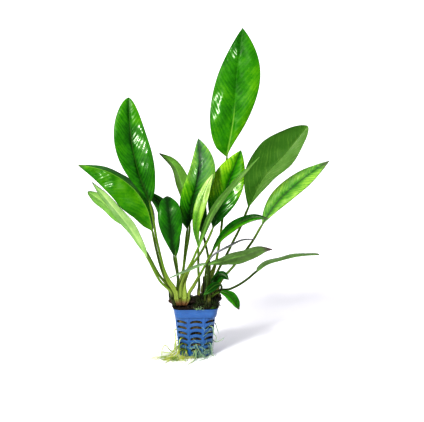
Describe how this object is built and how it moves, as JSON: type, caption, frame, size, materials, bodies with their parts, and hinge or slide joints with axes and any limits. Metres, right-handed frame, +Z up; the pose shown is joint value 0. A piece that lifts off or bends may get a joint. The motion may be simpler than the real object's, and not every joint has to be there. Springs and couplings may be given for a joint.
{
  "type": "potted anubias",
  "caption": "water plant with lance-shaped leaves on long stalks, rooted in dark medium in a small square slotted net pot; stands on the pot's base",
  "frame": {"origin": "centre of the pot's flat base, where it stands on the table", "axes": "+Z up, along the plant; -Y toward the side that the picture shows; +X to its right"},
  "size_m": [0.2724, 0.1129, 0.3501],
  "materials": {
    "blue_plastic": "satin",
    "dark_medium": "matte",
    "rhizome": "matte",
    "leaf": "satin",
    "root": "matte"
  },
  "bodies": {
    "root": {"net_pot": "blue_plastic", "growing_medium": "dark_medium", "rhizome_left": "rhizome", "rhizome_right": "rhizome", "rhizome_back": "rhizome", "old_stalk": "rhizome", "leaf_tallest": "leaf", "leaf_tall_left": "leaf", "leaf_broad_left": "leaf", "leaf_narrow_left": "leaf", "leaf_low_left": "leaf", "leaf_behind_left": "leaf", "leaf_rear_pale": "leaf", "leaf_dark_front": "leaf", "leaf_middle": "leaf", "leaf_yellow_right": "leaf", "leaf_pale_middle": "leaf", "leaf_diagonal": "leaf", "leaf_big_right": "leaf", "leaf_narrow_right": "leaf", "leaf_arching": "leaf", "leaf_edge_on": "leaf", "leaf_low_right": "leaf", "leaf_thin_left": "leaf", "leaf_far_right": "leaf", "leaf_drooping": "leaf", "leaf_small_crown": "leaf", "leaf_crown_front": "leaf", "leaf_hidden_middle": "leaf", "root_long_left": "root", "root_loop_left": "root", "root_low_left": "root", "root_side_left": "root", "root_corner_left": "root", "root_front_left": "root", "root_front_middle": "root", "root_front_right": "root", "root_base_right": "root", "root_side_right": "root", "root_twig_right": "root", "root_wisp_right": "root"}
  },
  "joints": []
}
